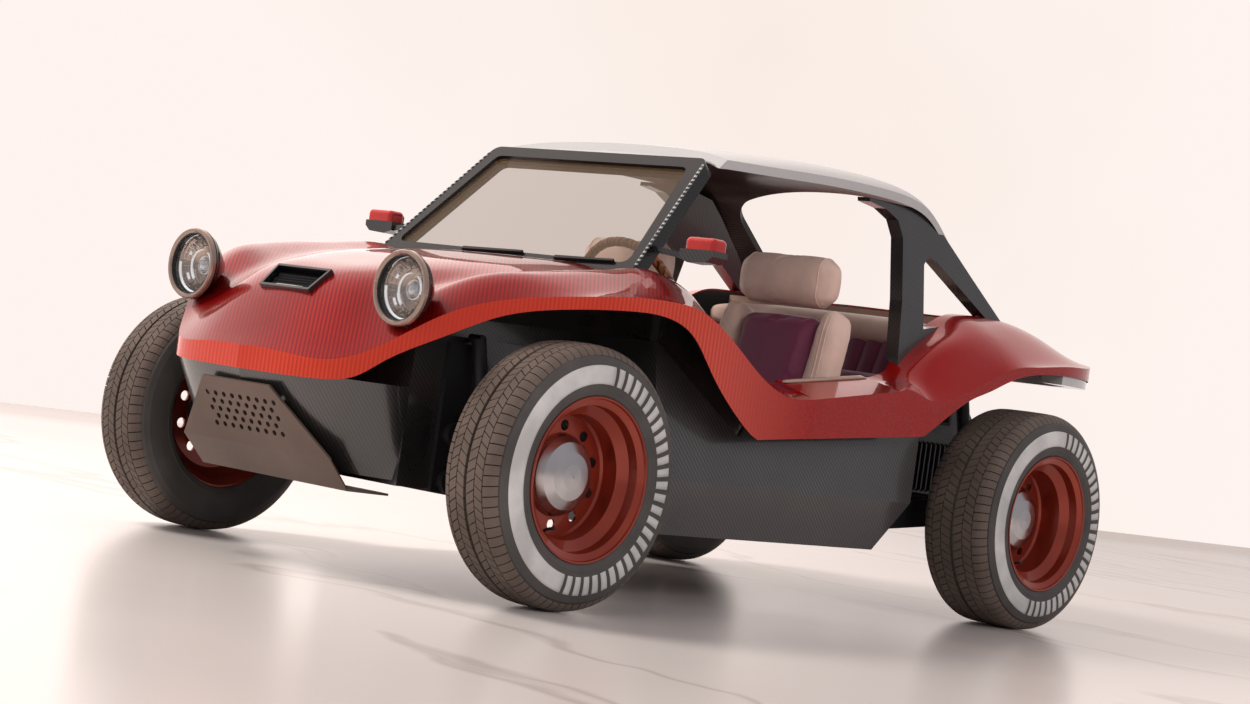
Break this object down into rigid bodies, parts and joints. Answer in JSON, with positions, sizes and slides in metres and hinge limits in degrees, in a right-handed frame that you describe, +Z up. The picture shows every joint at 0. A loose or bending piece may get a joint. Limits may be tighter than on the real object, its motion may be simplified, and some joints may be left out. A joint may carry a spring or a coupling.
{
  "type": "vehicle",
  "caption": "Open-sided beach car with a smooth red moulded shell, a pale hardtop on dark side hoops, round headlamps, a dark tub, cream seats and whitewall tyres on dished wheels.",
  "frame": {"origin": "on the ground, in the middle of the car's width and length", "axes": "+X to the car's left side, +Y to the rear, +Z up; the nose points along -Y"},
  "size_m": [1.656, 3.155, 1.3281],
  "materials": {
    "tyre": "satin",
    "wheel_paint": "gloss",
    "chrome": "polished",
    "chassis_paint": "satin",
    "body_paint": "gloss",
    "dark_composite": "gloss",
    "plate_metal": "satin",
    "lamp_metal": "gloss",
    "clear_glass": "clear",
    "black_plastic": "matte",
    "roof_paint": "gloss",
    "engine_metal": "rough",
    "pale_plastic": "satin",
    "wood_rim": "varnished",
    "cream_leather": "soft"
  },
  "bodies": {
    "chassis": {"front_beam": "chassis_paint", "rear_suspension": "chassis_paint", "body_front": "body_paint", "body_rear": "body_paint", "sill_left": "body_paint", "sill_right": "body_paint", "mirror_caps": "body_paint", "hood_scoop": "dark_composite", "nose_lower": "dark_composite", "windscreen_frame": "dark_composite", "hoop_left": "dark_composite", "hoop_right": "dark_composite", "mirror_left": "dark_composite", "mirror_right": "dark_composite", "tub": "dark_composite", "footwell": "dark_composite", "firewall": "dark_composite", "skid_plate": "plate_metal", "headlamp_left": "lamp_metal", "headlamp_right": "lamp_metal", "headlamp_lenses": "clear_glass", "windscreen_glass": "clear_glass", "wipers": "black_plastic", "dashboard": "black_plastic", "roof_panel": "roof_paint", "engine_block": "engine_metal", "rear_valance": "pale_plastic", "seat_left": "cream_leather", "seat_right": "cream_leather", "headrests": "cream_leather", "rear_bench": "cream_leather"},
    "knuckle_left": {"knuckle_left": "chassis_paint"},
    "knuckle_right": {"knuckle_right": "chassis_paint"},
    "wheel_front_left": {"tyre_front_left": "tyre", "rim_front_left": "wheel_paint", "hubcap_front_left": "chrome"},
    "wheel_front_right": {"tyre_front_right": "tyre", "rim_front_right": "wheel_paint", "hubcap_front_right": "chrome"},
    "wheel_rear_left": {"tyre_rear_left": "tyre", "rim_rear_left": "wheel_paint", "hubcap_rear_left": "chrome"},
    "wheel_rear_right": {"tyre_rear_right": "tyre", "rim_rear_right": "wheel_paint", "hubcap_rear_right": "chrome"},
    "steering_wheel": {"steering_wheel": "wood_rim"}
  },
  "joints": [
    {"name": "steer_left", "type": "hinge", "parent": "chassis", "child": "knuckle_left", "pos_m": [0.622, -1.0775, 0.334], "axis": [0, 0, 1], "range_deg": [-30, 30]},
    {"name": "steer_right", "type": "hinge", "parent": "chassis", "child": "knuckle_right", "pos_m": [-0.622, -1.0775, 0.334], "axis": [0, 0, 1], "range_deg": [-30, 30]},
    {"name": "steering_wheel_turn", "type": "hinge", "parent": "chassis", "child": "steering_wheel", "pos_m": [0.3, -0.4805, 0.8], "axis": [0, 0.9135, 0.4067], "range_deg": [-420, 420]},
    {"name": "spin_front_left", "type": "hinge", "parent": "knuckle_left", "child": "wheel_front_left", "pos_m": [0.7, -1.0775, 0.334], "axis": [1, 0, 0], "continuous": true},
    {"name": "spin_front_right", "type": "hinge", "parent": "knuckle_right", "child": "wheel_front_right", "pos_m": [-0.7, -1.0775, 0.334], "axis": [1, 0, 0], "continuous": true},
    {"name": "spin_rear_left", "type": "hinge", "parent": "chassis", "child": "wheel_rear_left", "pos_m": [0.7, 0.9675, 0.334], "axis": [1, 0, 0], "continuous": true},
    {"name": "spin_rear_right", "type": "hinge", "parent": "chassis", "child": "wheel_rear_right", "pos_m": [-0.7, 0.9675, 0.334], "axis": [1, 0, 0], "continuous": true}
  ],
  "couplings": [
    {"joint": "steer_right", "follows": "steer_left", "ratio": 1},
    {"joint": "steering_wheel_turn", "follows": "steer_left", "ratio": 14}
  ]
}
